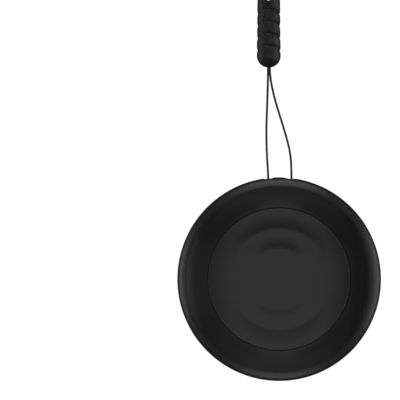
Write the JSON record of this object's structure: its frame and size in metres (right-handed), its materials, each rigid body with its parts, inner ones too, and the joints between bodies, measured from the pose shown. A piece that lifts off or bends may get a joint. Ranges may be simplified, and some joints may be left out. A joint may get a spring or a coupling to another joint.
{
  "type": "clicker trainer",
  "caption": "Round palm clicker with a dished press button over a snap-action spring leaf, carried on a thin cord with a ribbed grip and a wrist loop.",
  "frame": {"origin": "centre of the case's flat back, which lies on z = 0", "axes": "+Z out of the face towards the thumb, +Y from the case towards the strap, +X to the right as the face is seen"},
  "size_m": [0.0625, 0.2136, 0.0174],
  "materials": {
    "case_plastic": "satin soft-touch",
    "bezel_plastic": "satin soft-touch",
    "button_plastic": "satin soft-touch",
    "spring_steel": "brushed",
    "retainer_plastic": "natural nylon",
    "screw_steel": "zinc plated",
    "coil_steel": "drawn wire",
    "thin_cord": "twisted nylon",
    "grip_rubber": "matte",
    "braided_cord": "braided nylon"
  },
  "bodies": {
    "case": {"rear_cover": "case_plastic", "front_bezel": "bezel_plastic", "leaf_retainer": "retainer_plastic", "leaf_screws": "screw_steel", "case_screws": "screw_steel", "return_springs": "coil_steel", "cord_loop": "thin_cord", "cord_knot": "thin_cord", "strap_grip": "grip_rubber", "wrist_loop": "braided_cord"},
    "button": {"press_button": "button_plastic"},
    "leaf": {"click_leaf": "spring_steel"}
  },
  "joints": [
    {"name": "button_press", "type": "slide", "parent": "case", "child": "button", "axis": [0, 0, -1], "range_m": [0, 0.0012], "stiffness_N_per_m": 1800, "springref_m": -0.0006, "deforming": ["return_springs"]},
    {"name": "leaf_flex", "type": "hinge", "parent": "case", "child": "leaf", "pos_m": [-0.0152, 0, 0.00585], "axis": [0, 1, 0], "range_deg": [0, 5.6]}
  ],
  "couplings": [
    {"joint": "leaf_flex", "follows": "button_press", "rad_per_m": 80}
  ]
}
